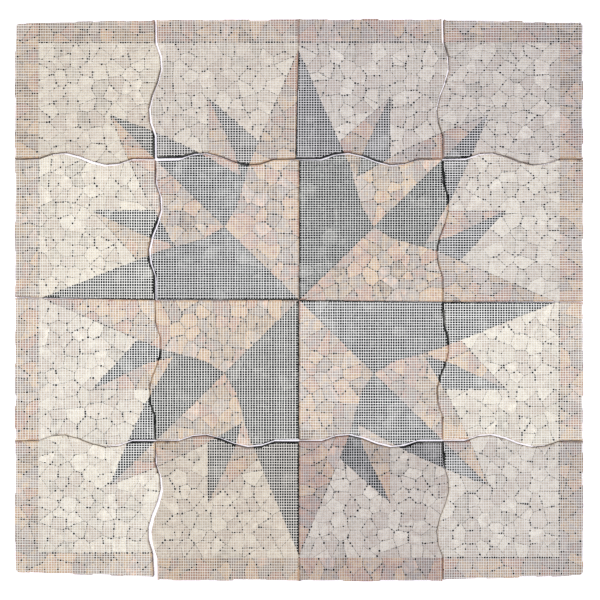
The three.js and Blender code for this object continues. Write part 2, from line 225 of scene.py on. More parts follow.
def strewn_points(ring, rng):
    """Loosely even points inside a ring, at least one."""
    low = Vector((min(p.x for p in ring), min(p.y for p in ring)))
    high = Vector((max(p.x for p in ring), max(p.y for p in ring)))
    turn = Matrix.Rotation(rng.uniform(0, math.pi), 2)
    middle = (low + high) / 2
    reach = math.ceil((high - low).length / 2 / SHARD) + 1
    points = []
    for row in range(-reach, reach + 1):
        for column in range(-reach, reach + 1):
            place = Vector((column + 0.5 * (row % 2), row * ROW_PITCH)) * SHARD
            stray = Vector((rng.uniform(-1, 1), rng.uniform(-1, 1))) * STRAY * SHARD
            point = middle + turn @ (place + stray)
            if inside(point, ring) and room_around(point, ring) > EDGE_ROOM * SHARD:
                points.append(point)
    if not points:
        tries = [low + Vector((rng.random() * (high.x - low.x), rng.random() * (high.y - low.y)))
                 for _ in range(TRIES)]
        points = [max(tries, key=lambda p: room_around(p, ring) if inside(p, ring) else -1)]
    return points


print("shards are about", round(SHARD / MM), "mm from point to point")

# %% Cutting the shards
NEIGHBOURS = 16
HALF_GAP = (0.02 * MM, 0.12 * MM)
WELD = 0.001 * MM


def cut(flat, place, away, **sides):
    """Cuts a flat bmesh with an upright plane, and clears what is named in sides."""
    bmesh.ops.bisect_plane(
        flat, geom=flat.verts[:] + flat.edges[:] + flat.faces[:], dist=WELD,
        plane_co=(place.x, place.y, 0), plane_no=(away.x, away.y, 0), **sides)


def shards_of(patch, points, rng):
    """What is left of a patch around each of its points, as one-faced bmeshes."""
    shards = []
    for here in points:
        shard = patch.copy()
        nearest = sorted(points, key=lambda point: (point - here).length_squared)
        for there in nearest[1:NEIGHBOURS + 1]:
            away = (there - here).normalized()
            stop = (here + there) / 2 - away * rng.uniform(*HALF_GAP)
            cut(shard, stop, away, clear_outer=True)
        shards += one_by_one(shard)
    return shards


print("two shards are at most", round(2 * HALF_GAP[1] / MM, 2), "mm apart where they are widest")

# %% [markdown]
# A mason then breaks what is too big. Each break runs across the longest way of the shard, a bit
# off its middle and a bit askew, and leaves two stones with a joint between them. That gives the
# pointed and four-sided stones and the joints that end against the side of another stone.

# %% Breaking a shard into stones
BIGGEST = (850 * MM * MM, 1500 * MM * MM)
SMALLEST = 6 * MM * MM
ASKEW = math.radians(24)
OFF_MIDDLE = 0.14


def broken(shard, rng):
    """The stones that a shard is broken into, as one-faced bmeshes."""
    face = next(iter(shard.faces))
    if face.calc_area() < rng.uniform(*BIGGEST):
        return [shard]
    corners = [vert.co.xy for vert in face.verts]
    pairs = ((a, b) for a in corners for b in corners)
    one, other = max(pairs, key=lambda pair: (pair[0] - pair[1]).length)
    length = (one - other).length
    away = Matrix.Rotation(rng.uniform(-ASKEW, ASKEW), 2) @ ((one - other) / length)
    off_middle = away * length * rng.uniform(-OFF_MIDDLE, OFF_MIDDLE)
    middle = face.calc_center_median_weighted().xy + off_middle
    half = rng.uniform(*HALF_GAP)
    rest = shard.copy()
    cut(shard, middle - away * half, away, clear_outer=True)
    cut(rest, middle + away * half, away, clear_inner=True)
    return [stone for part in one_by_one(shard) + one_by_one(rest) for stone in broken(part, rng)]


print("every shard over", round(BIGGEST[1] / MM / MM), "square mm is broken")

# %% [markdown]
# ## Where the strands of a net run
# The net is an open mesh of 5 by 5.6 mm. Its strands hide most of a joint, which then shows as a
# row of black dots, one in each hole of the net. So the places of the strands are settled before
# the stones are made. No two gaps of a net are quite alike, and some of the nets are turned.

# %% Places of the strands
FINE_PITCH = 5.05 * MM
COARSE_PITCH = 5.6 * MM
FIRST_STRAND = (0.4, 0.9)
LAST_STRAND = 0.3
GAP_CHANGE = (0.94, 1.06)
TURNED_NETS = {"a1", "b1", "c3", "d2", "d3", "d4"}


def strand_places(sheet, across):
    """The places of a net's strands; across is 0 for upright strands and 1 for level ones."""
    rng = random.Random(f"{sheet} {across}")
    low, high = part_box("net_" + sheet)
    pitch = FINE_PITCH if (across == 0) == (sheet in TURNED_NETS) else COARSE_PITCH
    places = []
    place = low[across] + rng.uniform(*FIRST_STRAND) * pitch
    while place < high[across] - LAST_STRAND * pitch:
        places.append(place)
        place += pitch * rng.uniform(*GAP_CHANGE)
    return places


def hole_over(point, places):
    """The middle of the net's hole over a plan point, or None outside the net."""
    middle = []
    for value, lines in zip(point, places):
        after = bisect.bisect(lines, value)
        if after in (0, len(lines)):
            return None
        middle.append((lines[after - 1] + lines[after]) / 2)
    return tuple(middle)


b2_strands = [len(strand_places("b2", across)) for across in (0, 1)]
print("upright and level strands of sheet b2:", b2_strands)

# %% [markdown]
# ## From a flat shape to a stone
# A broken and tumbled stone is widest at about half its thickness, and from there its walls lean
# in towards both faces. Seen from above, the joints are grooves that narrow downwards, and no
# floor shows through them. On the net side some walls lean in by a tenth of a millimetre and a few
# by one, which makes the joints uneven. A narrow stone leans in by a share of its width at most.
#
# The flat shape is that widest outline. An inset gives a smaller face inside it, which is lifted
# for the net side, and the same on a copy makes the show side. Some corners of the net side are
# bevelled away as chips. They are the black holes that dot the joints: their faces carry a number
# of their own, and the finish paints them black as the shade in the hole. Where both halves meet
# they are welded, and the two rims are bevelled, because nothing on a tumbled stone is sharp. The
# frame is as thick as its stones, its net and the hair of air between them, so the stones are as
# thick as what is left without those.

# %% Raising a stone
NET_AND_AIR = 0.9 * MM
STONE_THICK = cad_box[1][2] - NET_AND_AIR
THINNER = 0.5 * MM
WAIST = 0.5 * STONE_THICK
CHIP = (0.8 * MM, 2.6 * MM)
CHIPPED = 0.5
NET_SIDE_LEAN = (0.1 * MM, 1.1 * MM)
LEAN_POWER = 2.2
SHOW_SIDE_LEAN = 0.8 * MM
LEAN_SHARE = 0.22
RIM = 0.3 * MM
STRAIGHT = math.radians(4)


def pour(part, whole):
    """Adds a bmesh to another one and frees it."""
    mesh = bpy.data.meshes.new("part")
    part.to_mesh(mesh)
    part.free()
    whole.from_mesh(mesh)
    bpy.data.meshes.remove(mesh)


def half_stone(plan, lean, level, chips=()):
    """The part of a stone between its widest outline and its face at a level, with its chips."""
    half = plan.copy()
    painted_hole_shade = half.faces.layers.float.new("painted_hole_shade")
    face = next(iter(half.faces))
    bmesh.ops.inset_region(
        half, faces=[face], thickness=lean, use_boundary=True, use_even_offset=False)
    corners = face.verts[:]
    bmesh.ops.translate(half, verts=corners, vec=(0, 0, level - WAIST))
    for corner, chip in zip(corners, chips):
        if chip:
            made = bmesh.ops.bevel(
                half, geom=[corner], offset=chip, offset_type="OFFSET", segments=1, profile=0.5,
                affect="VERTICES", material=-1, clamp_overlap=True)
            # The chip faces are marked, and the finish paints them black as the shade in the hole.
            for chip_face in made["faces"]:
                chip_face[painted_hole_shade] = 1
    return half


def stone_from(plan, rng):
    """A stone with chipped corners, leaning walls and soft rims; frees the flat shape."""
    bmesh.ops.dissolve_limit(plan, angle_limit=STRAIGHT, verts=plan.verts, edges=plan.edges)
    bmesh.ops.translate(plan, verts=plan.verts, vec=(0, 0, WAIST))
    chips = [rng.uniform(*CHIP) if rng.random() < CHIPPED else 0 for _ in plan.verts]
    face = next(iter(plan.faces))
    mean_width = 4 * face.calc_area() / face.calc_perimeter()
    most = LEAN_SHARE * mean_width
    height = STONE_THICK - rng.uniform(0, THINNER)
    least, highest = NET_SIDE_LEAN
    lean = least + (highest - least) * rng.random() ** LEAN_POWER
    stone = half_stone(plan, min(most, lean), height, chips)
    pour(half_stone(plan, min(most, SHOW_SIDE_LEAN), 0), stone)
    plan.free()
    bmesh.ops.remove_doubles(stone, verts=stone.verts, dist=WELD)
    bmesh.ops.recalc_face_normals(stone, faces=stone.faces)
    rims = [edge for edge in stone.edges
            if abs(edge.verts[0].co.z - edge.verts[1].co.z) < WELD
            and abs(edge.verts[0].co.z - WAIST) > WELD]
    bmesh.ops.bevel(
        stone, geom=rims, offset=RIM, offset_type="OFFSET", segments=1, profile=0.5,
        affect="EDGES", material=-1, clamp_overlap=True)
    tone = stone.faces.layers.float.new("tone")
    tint = stone.faces.layers.float.new("tint")
    stone_tone, stone_tint = rng.random(), rng.random()
    for face in stone.faces:
        face[tone] = stone_tone
        face[tint] = stone_tint
        face.smooth = False
    return stone


def ring_of(flat):
    """The outline of a one-faced bmesh as plan points."""
    return [vert.co.xy for vert in next(iter(flat.faces)).verts]


print("a stone is", round(STONE_THICK / MM, 1), "mm thick, widest at", round(WAIST / MM, 1), "mm")

# %% [markdown]
# Where a joint lies open, its mouth is dark with shade. Only where a hole of the net lies over it
# does it show, so a black plug of painted shade is put in some of the holes that a joint runs
# through. It is a low cone with an uneven rim, level with the stones.

# %% Black plugs of painted shade in the joints
SHADE_PLUG = (1.5 * MM, 2.8 * MM)
SHADE_PLUG_THICK = 1.6 * MM
SHADE_PLUG_SIDES = 6
SHADE_PLUG_UNEVEN = (0.82, 1.15)
SHADE_PLUG_SHARE = {"cream": 0.27, "rose": 0.36, "grey": 0.2}
SHADE_PLUG_SPREAD = 0.5
SHADE_PLUG_RUN = 22 * MM
NEAR_MIDDLE = 2.2 * MM
STEP = 1.5 * MM
OFF_SEAM = 4 * MM


def joint_holes(ring, places, holes):
    """Notes each hole of the net that a side of a stone runs through, with the place in it."""
    for a, b in zip(ring, ring[1:] + ring[:1]):
        steps = max(1, round((b - a).length / STEP))
        for step in range(steps):
            point = a.lerp(b, (step + 0.5) / steps)
            hole = hole_over(point, places)
            if hole and (point - Vector(hole)).length < holes.get(hole, (NEAR_MIDDLE, None))[0]:
                holes[hole] = ((point - Vector(hole)).length, point)


def shade_plug_at(point, rng):
    """A black plug of painted shade with its top level with the stones."""
    shade_plug = bmesh.new()
    radius = rng.uniform(*SHADE_PLUG)
    bmesh.ops.create_cone(
        shade_plug, cap_ends=True, segments=SHADE_PLUG_SIDES, radius1=radius / 2, radius2=radius,
        depth=SHADE_PLUG_THICK)
    turn = Matrix.Rotation(rng.uniform(0, math.pi), 3, "Z")
    bmesh.ops.rotate(shade_plug, verts=shade_plug.verts, matrix=turn)
    for vert in shade_plug.verts:
        vert.co.xy *= rng.uniform(*SHADE_PLUG_UNEVEN)
    bmesh.ops.translate(
        shade_plug, verts=shade_plug.verts, vec=(point.x, point.y, STONE_THICK - SHADE_PLUG_THICK / 2))
    # Every face of the plug is marked, and the finish paints it black as the shade of an open
    # joint.
    painted_hole_shade = shade_plug.faces.layers.float.new("painted_hole_shade")
    for face in shade_plug.faces:
        face[painted_hole_shade] = 1
    return shade_plug


def pour_shade_plugs(stones, holes, net_ring, share, rng):
    """Adds black plugs of painted shade to some of the holes, in runs, and clear of the seams."""
    for hole in sorted(holes):
        point = holes[hole][1]
        wish = share + SHADE_PLUG_SPREAD * noise.noise((point.x / SHADE_PLUG_RUN, point.y / SHADE_PLUG_RUN, 0))
        if rng.random() < wish and inside(point, net_ring):
            if room_around(point, net_ring) > OFF_SEAM:
                pour(shade_plug_at(point, rng), stones)


print("share of the joint holes with a crumb:", SHADE_PLUG_SHARE)

# %% [markdown]
# ## All stones of one marble on one sheet
# A real sheet is laid patch by patch in a tray. Here too each patch of a node is strewn with
# points, cut and broken, and every flat shape is raised to a stone and poured into one mesh. The
# holes of the net that a joint runs through are noted on the way, for the black plugs of painted
# shade. The stones stand out a little past the net, and their faces there are marked as bare,
# because no glue reached them. Their walls get less of the dark of the joints, which is partly dust
# and partly painted shade.

# %% Stones of a node
STONE_SEED = 100


def marble_stones(node, seed):
    """A mesh with every stone of one marble on one sheet, and how many there are."""
    rng = random.Random(seed)
    places = [strand_places(node[-2:], across) for across in (0, 1)]
    holes = {}
    stones = bmesh.new()
    count = 0
    for patch in one_by_one(underside(node)):
        widened(patch, SPREAD)
        ring = ring_of(patch)
        for shard in shards_of(patch, strewn_points(ring, rng), rng):
            for stone in broken(shard, rng):
                if next(iter(stone.faces)).calc_area() > SMALLEST:
                    joint_holes(ring_of(stone), places, holes)
                    pour(stone_from(stone, rng), stones)
                    count += 1
                else:
                    stone.free()
        patch.free()
    net = underside("net_" + node[-2:])
    net_ring = ring_of(net)
    net.free()
    pour_shade_plugs(stones, holes, net_ring, SHADE_PLUG_SHARE[node.split("_")[0]], rng)
    bare = stones.faces.layers.float.new("bare")
    for face in stones.faces:
        face[bare] = 0 if inside(face.calc_center_median(), net_ring) else 1
    mesh = bpy.data.meshes.new(node)
    stones.to_mesh(mesh)
    stones.free()
    return mesh, count


print("the draws for the stones start at seed", STONE_SEED)

# %% [markdown]
# Some sheets look greyer than others and some yellower, as if they had lain longer in dust or in
# light. How soiled and how yellowed a sheet is goes with all of its faces as two numbers from 0 to
# 1, for the stones and for the net alike.

# %% Soil
SOIL = {
    "a1": 0.4, "a2": 0.7, "a3": 0.9, "a4": 0.9, "b2": 0.25, "b4": 0.5, "c2": 0.1, "c3": 0.25,
    "d1": 0.02, "d2": 0.6, "d3": 0.9, "d4": 0.6}
LEAST_SOIL = 0.03
YELLOWED = {"a1": 0.6, "a2": 0.5, "b1": 0.3, "c2": 0.3, "d1": 0.1, "d2": 0.9}


def soil_mesh(mesh, sheet):
    """Gives every face of a mesh the soil and the yellowing of its sheet."""
    numbers = {"soil": SOIL.get(sheet, LEAST_SOIL), "yellowed": YELLOWED.get(sheet, 0)}
    for name, number in numbers.items():
        for face in mesh.attributes.new(name, "FLOAT", "FACE").data:
            face.value = number


print("most soiled sheets:", " ".join(name for name in SOIL if SOIL[name] == max(SOIL.values())))

# %% [markdown]
# ## Colours
# The marbles' colours are written as the sRGB values that a picture editor shows. Blender's
# shaders work in linear light, so one function turns them. A second small function adds a node
# with its settings, its values and its links, which keeps each material short enough to read.
# Many patterns are stretched from one range to another, and limits names the four ends of that.

# %% Colour and node helpers


def linear(hex_colour):
    """An sRGB hex colour as linear red, green, blue and a full alpha."""
    channels = [int(hex_colour[k:k + 2], 16) / 255 for k in (1, 3, 5)]
    return [c / 12.92 if c <= 0.04045 else ((c + 0.055) / 1.055) ** 2.4 for c in channels] + [1]


def add_node(tree, kind, inputs=(), **settings):
    """Adds a shader node with its settings; an input gets a value, or a socket to link."""
    node = tree.nodes.new(kind)
    for name, value in settings.items():
        setattr(node, name, value)
    for name, value in dict(inputs).items():
        if isinstance(value, bpy.types.NodeSocket):
            tree.links.new(value, node.inputs[name])
        else:
            node.inputs[name].default_value = value
    return node


def limits(low, high, least=0, most=1):
    """The limits of a Map Range node, under the names of its sockets."""
    return {"From Min": low, "From Max": high, "To Min": least, "To Max": most}


def new_material(name):
    """An empty material and its node tree."""
    material = bpy.data.materials.new(name)
    material.use_nodes = True
    material.node_tree.nodes.clear()
    return material, material.node_tree


def colour_steps(node, colours):
    """Fills a colour ramp with evenly spaced colours."""
    ramp = node.color_ramp
    while len(ramp.elements) < len(colours):
        ramp.elements.new(0.5)
    for index, (element, colour) in enumerate(zip(ramp.elements, colours)):
        element.position = index / (len(colours) - 1)
        element.color = linear(colour)


print("middle grey #808080 is", round(linear("#808080")[0], 3), "in linear light")

# %% [markdown]
# Dust and yellowing dull every finish in the same way. The colour is multiplied by a pale tint,
# and the sheet's own number says how much of that tint it gets.

# %% Dust and yellowing
CLEAN = "#ffffff"
DULLED_BY = {"soil": "#e3e1e7", "yellowed": "#fdf9f0"}


def soiled(tree, colour):
    """Dulls a colour by how soiled and how yellowed the sheet is."""
    for attribute, full in DULLED_BY.items():
        share = add_node(tree, "ShaderNodeAttribute", attribute_name=attribute).outputs["Fac"]
        veil = add_node(
            tree, "ShaderNodeMix", {0: share, 6: linear(CLEAN), 7: linear(full)}, data_type="RGBA")
        colour = add_node(
            tree, "ShaderNodeVectorMath", {0: colour, 1: veil.outputs[2]},
            operation="MULTIPLY").outputs[0]
    return colour


print("tints:", ", ".join(DULLED_BY))

# %% [markdown]
# ## Marble, seen from its sawn back
# Real marble is a calcite rock. Sawn and tumbled it is matt, with a roughness of about 0.6 and an
# IOR of 1.49, and it shows soft clouds a centimetre or two across, a fine grain and now and then
# a vein. No two stones of one floor have the same tone, so the ramp reads the stone's own random
# number. The clouds are shifted by such a number too, and no vein runs on from stone to stone.

# %% Marble: clouds, veins and grain
CLOUD = 14 * MM
CLOUD_SHIFT = 40
CLOUDS_AND_TONE = (0.4, 1.6)
VEINS_TO_CLOUDS = 0.8
VEIN_STOPS = (0, 0.47, 0.5, 0.53, 1)


def marble_colour(tree, place, tint, colours, veins):
    """The cloudy and veined colour of a marble, with its own tone on each stone."""
    tone = add_node(tree, "ShaderNodeAttribute", attribute_name="tone").outputs["Fac"]
    shift = add_node(tree, "ShaderNodeMath", {0: tint, 1: CLOUD_SHIFT}, operation="MULTIPLY")
    clouds = add_node(
        tree, "ShaderNodeTexNoise",
        {"Vector": place, "W": shift.outputs[0], "Scale": 1 / CLOUD, "Detail": 5,
         "Roughness": 0.6},
        noise_dimensions="4D")
    spread = add_node(
        tree, "ShaderNodeMath", {0: clouds.outputs["Fac"], 1: tone}, operation="ADD")
    centred = add_node(
        tree, "ShaderNodeMapRange", {"Value": spread.outputs[0], **limits(*CLOUDS_AND_TONE)})
    base = add_node(tree, "ShaderNodeValToRGB", {"Fac": centred.outputs[0]})
    colour_steps(base, colours)

    vein_noise = add_node(
        tree, "ShaderNodeTexNoise",
        {"Vector": place, "W": shift.outputs[0], "Scale": VEINS_TO_CLOUDS / CLOUD, "Detail": 3,
         "Distortion": 1.2},
        noise_dimensions="4D")
    lines = add_node(tree, "ShaderNodeValToRGB", {"Fac": vein_noise.outputs["Fac"]})
    colour_steps(lines, ["#000000"] * len(VEIN_STOPS))
    for element, position in zip(lines.color_ramp.elements, VEIN_STOPS):
        element.position = position
    vein_colour, vein_share = veins
    lines.color_ramp.elements[2].color = (vein_share, vein_share, vein_share, 1)
    return add_node(
        tree, "ShaderNodeMix",
        {0: lines.outputs["Color"], 6: base.outputs["Color"], 7: linear(vein_colour)},
        data_type="RGBA").outputs[2]


print("clouds of", round(CLOUD / MM), "mm")

# %% [markdown]
# A thin whitish film of glue lies on the net side. It comes and goes in patches, and one stone
# takes more of it than the next. Only faces that look up have it, so its mask reads the normal.

# %% Marble: film of glue
FILM_PATCH = 45 * MM
FILM_BY_STONE = 0.35
FILM_FROM, FILM_FULL = 0.72, 1
FILM_COLOUR = "#cfccc4"
LOOKS_UP = (0.6, 0.9)


def under_film(tree, place, tint, up, colour, film):
    """A colour under its patchy film of glue."""
    patches = add_node(
        tree, "ShaderNodeTexNoise",
        {"Vector": place, "Scale": 1 / FILM_PATCH, "Detail": 4, "Roughness": 0.62})
    spread = add_node(
        tree, "ShaderNodeMath", {0: tint, 1: FILM_BY_STONE, 2: patches.outputs["Fac"]},
        operation="MULTIPLY_ADD")
    strength = add_node(
        tree, "ShaderNodeMapRange",
        {"Value": spread.outputs[0], **limits(FILM_FROM, FILM_FULL, most=film)})
    on_top = add_node(tree, "ShaderNodeMapRange", {"Value": up, **limits(*LOOKS_UP)})
    share = add_node(
        tree, "ShaderNodeMath", {0: strength.outputs[0], 1: on_top.outputs[0]},
        operation="MULTIPLY")
    return add_node(
        tree, "ShaderNodeMix", {0: share.outputs[0], 6: colour, 7: linear(FILM_COLOUR)},
        data_type="RGBA").outputs[2]


print("patches of glue film of", round(FILM_PATCH / MM), "mm")

# %% [markdown]
# The walls in the joints are darker in patches, partly from dust and partly as painted shade: the
# mask picks the faces that stand steep, as the walls of a joint do. Walls along a seam get less of
# it, by a share that each marble gives. The chips and the plugs of painted shade are black all
# over.

# %% Marble: dark joints
JOINT_DUST_AND_SHADE = 6 * MM
LOOKS_ASIDE = (0.2, 0.6, 1, 0)
DUST_AND_SHADE_PATCHES = (0.46, 0.6, 0.05, 0.7)


def with_dark_joints(tree, place, up, colour, wall, seam_dust_and_shade):
    """A colour with joint walls darkened by dust and painted shade, and chips and plugs painted
    black as shade.
    """
    # Steep faces take the dark wall colour in patches: dust and painted shade.
    steep = add_node(tree, "ShaderNodeMath", {0: up}, operation="ABSOLUTE")
    on_wall = add_node(
        tree, "ShaderNodeMapRange", {"Value": steep.outputs[0], **limits(*LOOKS_ASIDE)})
    patches = add_node(
        tree, "ShaderNodeTexNoise", {"Vector": place, "Scale": 1 / JOINT_DUST_AND_SHADE, "Detail": 2})
    dust_and_shade = add_node(
        tree, "ShaderNodeMapRange", {"Value": patches.outputs["Fac"], **limits(*DUST_AND_SHADE_PATCHES)})
    bare = add_node(tree, "ShaderNodeAttribute", attribute_name="bare").outputs["Fac"]
    covered = add_node(
        tree, "ShaderNodeMapRange", {"Value": bare, **limits(0, 1, 1, seam_dust_and_shade)})
    in_joint = add_node(
        tree, "ShaderNodeMath", {0: dust_and_shade.outputs[0], 1: covered.outputs[0]},
        operation="MULTIPLY")
    dusty_and_shaded = add_node(
        tree, "ShaderNodeMath", {0: on_wall.outputs[0], 1: in_joint.outputs[0]},
        operation="MULTIPLY")
    painted_hole_shade = add_node(tree, "ShaderNodeAttribute", attribute_name="painted_hole_shade").outputs["Fac"]
    dark = add_node(
        tree, "ShaderNodeMath", {0: dusty_and_shaded.outputs[0], 1: painted_hole_shade}, operation="MAXIMUM")
    return add_node(
        tree, "ShaderNodeMix", {0: dark.outputs[0], 6: colour, 7: linear(wall)},
        data_type="RGBA").outputs[2]


print("patches of joint dirt of", round(JOINT_DUST_AND_SHADE / MM), "mm")

# %% [markdown]
# The underside is the polished show face, so it is smoother than the rest. The grain darkens and
# lightens the colour a little and stands out as a faint relief, too low to be modelled. Dust and
# glue leave little gloss, so the specular level is low. Cream, rose and grey marble are one finish
# with other colours.

# %% Marble: the three finishes
MARBLE_IOR = 1.49
MARBLE_SPECULAR = 0.12
GRAIN = 1.6 * MM
GRAIN_SHADE = (0.3, 0.7, 0.9, 1.08)
POLISHED = 0.22
POLISH_ENDS = (0.1 * MM, 0.6 * MM)
RELIEF = 0.25 * MM


def marble(name, colours, veins, film, wall, seam_dust_and_shade, roughness):
    """A tumbled marble with its own tone on each stone, walls darkened by dust and painted shade,
    and a film of glue on top.
    """
    material, tree = new_material(name)
    place = add_node(tree, "ShaderNodeTexCoord").outputs["Object"]
    tint = add_node(tree, "ShaderNodeAttribute", attribute_name="tint").outputs["Fac"]
    normal = add_node(tree, "ShaderNodeNewGeometry").outputs["Normal"]
    up = add_node(tree, "ShaderNodeSeparateXYZ", {0: normal}).outputs["Z"]
    height = add_node(tree, "ShaderNodeSeparateXYZ", {0: place}).outputs["Z"]

    colour = marble_colour(tree, place, tint, colours, veins)
    grain = add_node(
        tree, "ShaderNodeTexNoise",
        {"Vector": place, "Scale": 1 / GRAIN, "Detail": 3, "Roughness": 0.65}).outputs["Fac"]
    shade = add_node(tree, "ShaderNodeMapRange", {"Value": grain, **limits(*GRAIN_SHADE)})
    grained = add_node(
        tree, "ShaderNodeVectorMath", {0: colour, 1: shade.outputs[0]}, operation="MULTIPLY")
    filmed = under_film(tree, place, tint, up, grained.outputs[0], film)
    walled = with_dark_joints(tree, place, up, filmed, wall, seam_dust_and_shade)

    gloss = add_node(
        tree, "ShaderNodeMapRange",
        {"Value": height, **limits(*POLISH_ENDS, POLISHED, roughness)})
    bump = add_node(
        tree, "ShaderNodeBump", {"Height": grain, "Strength": 0.35, "Distance": RELIEF})
    shader = add_node(
        tree, "ShaderNodeBsdfPrincipled",
        {"Base Color": soiled(tree, walled), "Roughness": gloss.outputs[0],
         "Normal": bump.outputs[0], "Specular IOR Level": MARBLE_SPECULAR,
         "IOR": MARBLE_IOR})
    add_node(tree, "ShaderNodeOutputMaterial", {"Surface": shader.outputs[0]})
    return material


# The near-black wall colours are dust and painted shade in the joints, and the painted black of the
# chips and plugs.
FINISHES = {
    "cream": marble(
        "cream_marble_tumbled",
        ["#928b81", "#c5beb0", "#aea196", "#d5cfc0", "#beb3a6", "#e3ddce"],
        veins=("#9a7f66", 0.45), film=0.2, wall="#120e0c", seam_dust_and_shade=0, roughness=0.62),
    "rose": marble(
        "rose_marble_tumbled",
        ["#635751", "#ab967f", "#8b8481", "#a98779", "#c0a789", "#9d9591", "#cdaf9b"],
        veins=("#7a5540", 0.45), film=0.08, wall="#140c08", seam_dust_and_shade=0.3, roughness=0.6),
    "grey": marble(
        "grey_green_marble_tumbled",
        ["#050606", "#0b0d0c", "#121514", "#1c201f", "#2b302d"],
        veins=("#a9aca4", 0.2), film=0.32, wall="#050606", seam_dust_and_shade=0.6, roughness=0.58),
}
print("marbles:", ", ".join(material.name for material in FINISHES.values()))

# %% [markdown]
# ## Laying the stones
# Each marble of each sheet is one piece, which stands over its CAD node and takes its place.

# %% Stones of all sheets
stone_count = 0
for number, node in enumerate(sorted(frame["nodes"])):
    marble_name = node.split("_")[0]
    if marble_name not in MARBLES:
        continue
    mesh, count = marble_stones(node, STONE_SEED + number)
    soil_mesh(mesh, node[-2:])
    stone_count += count
    piece = bpy.data.objects.new(node.replace("_stones_", "_marble_"), mesh)
    mesh.materials.append(FINISHES[marble_name])
    bpy.context.scene.collection.objects.link(piece)
    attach(piece, "root")
    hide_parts(node)
print("stones:", stone_count)

# %% [markdown]
# ## The nets
# The net is an open glass-fibre mesh, coated white and pressed into the glue. Its strands are flat
# rovings, a bit over one millimetre wide and a third of a millimetre thick, and they wander a
# little. A strand runs as far as the sheet does, so its place comes from bisecting the sheet's
# outline along the strand's line: the new edges are its spans. It is cut off by hand, and ends
# just past the net's outline or just short of it.
#
# Some of the nets look thinner than the rest. On others the strands of one direction look wider
# than those of the other, and their widths follow that: WIDER_WAY is 0 where the upright strands
# are the wider ones and 1 where the level ones are.

# %% Spans of a strand across a sheet
STRAND = 1.2 * MM
STRAND_THICK = 0.3 * MM
SIDES = 6
STATION = 13 * MM
WANDER = 0.35 * MM
DRIFT = 40 * MM
CUT_SHORT = (-0.6 * MM, 1.2 * MM)
SHORTEST = 4 * CUT_SHORT[1]
STRAND_CHANGE = (0.85, 1.15)
NET_CHANGE = (0.92, 1.08)
FAR_OFF = 1000
THIN_NETS = {
    "b3": 0.72, "c2": 0.88, "b2": 0.85, "c3": 0.94, "d3": 0.68, "a3": 0.87, "b1": 0.92}
WIDER_WAY = {"a1": 1, "a4": 1, "b4": 1, "c1": 0, "c2": 0}
NARROW_AND_WIDE = (0.82, 1.18)


def strand_spans(sheet, across, start):
    """Runs of a straight line over a sheet, as pairs of points; across is 0 for upright strands."""
    flat = underside("net_" + sheet)
    normal, place = [0, 0, 0], [0, 0, 0]
    normal[across], place[across] = 1, start
    cut_line = bmesh.ops.bisect_plane(
        flat, geom=flat.verts[:] + flat.edges[:] + flat.faces[:], dist=WELD,
        plane_co=place, plane_no=normal)
    spans = [(edge.verts[0].co.copy(), edge.verts[1].co.copy())
             for edge in cut_line["geom_cut"] if isinstance(edge, bmesh.types.BMEdge)]
    flat.free()
    return [span for span in spans if (span[1] - span[0]).length > SHORTEST]


def strand_between(span, across, height, width, rng):
    """One flat strand from end to end of a span, wandering a little to the sides."""
    low, high = sorted(point[1 - across] for point in span)
    low += rng.uniform(*CUT_SHORT)
    high -= rng.uniform(*CUT_SHORT)
    side = span[0][across]
    width *= rng.uniform(*STRAND_CHANGE)
    phase = rng.uniform(0, FAR_OFF)

    strand = bmesh.new()
    bmesh.ops.create_cone(
        strand, cap_ends=True, segments=SIDES, radius1=0.5, radius2=0.5, depth=high - low)
    bars = [edge for edge in strand.edges
            if abs(edge.verts[0].co.z - edge.verts[1].co.z) > WELD]
    cuts = max(1, round((high - low) / STATION))
    bmesh.ops.subdivide_edges(strand, edges=bars, cuts=cuts)
    for vert in strand.verts:
        along = vert.co.z + (low + high) / 2
        lateral = side + vert.co.x * width + WANDER * noise.noise((along / DRIFT, phase, 0))
        level = height + vert.co.y * STRAND_THICK
        vert.co = (lateral, along, level) if across == 0 else (along, lateral, level)
    bmesh.ops.recalc_face_normals(strand, faces=strand.faces)
    return strand


upright = strand_spans("b2", 0, strand_places("b2", 0)[0])
print("the first upright strand of sheet b2 has", len(upright), "span")

# %% [markdown]
# Two layers of strands make the net: the upright ones next to the stones and the level ones on
# top of those. Over dark stone the strands look whiter than over pale stone. So each face of a
# strand notes whether grey marble lies under it, and the finish reads that.

# %% Strands of a net
NET_SEED = 700


def net_mesh(sheet, seed):
    """The whole net of one sheet: upright strands below, level strands above."""
    rng = random.Random(seed)
    low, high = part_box("net_" + sheet)
    net = bmesh.new()
    count = 0
    for across in (0, 1):
        width = STRAND * rng.uniform(*NET_CHANGE) * THIN_NETS.get(sheet, 1)
        if sheet in WIDER_WAY:
            width *= NARROW_AND_WIDE[WIDER_WAY[sheet] == across]
        height = low.z + STRAND_THICK / 2 if across == 0 else high.z - STRAND_THICK / 2
        for place in strand_places(sheet, across):
            for span in strand_spans(sheet, across, place):
                pour(strand_between(span, across, height, width, rng), net)
                count += 1
    dark_rings = []
    if "grey_stones_" + sheet in frame["nodes"]:
        for patch in one_by_one(underside("grey_stones_" + sheet)):
            dark_rings.append(ring_of(patch))
            patch.free()
    over_dark = net.faces.layers.float.new("over_dark")
    for face in net.faces:
        middle = face.calc_center_median()
        face[over_dark] = 1 if any(inside(middle, ring) for ring in dark_rings) else 0
    mesh = bpy.data.meshes.new("net_" + sheet)
    net.to_mesh(mesh)
    net.free()
    return mesh, count


print("nets of thinner strands:", " ".join(THIN_NETS))

# %% [markdown]
# Coated glass fibre is white. Where glue has soaked it, it lets a little of the stone's colour
# through, so the finish has an opacity of 0.95. At this distance the fine ribs of the yarn can't
# be seen, and a coarser relief of 0.8 mm stands for them.

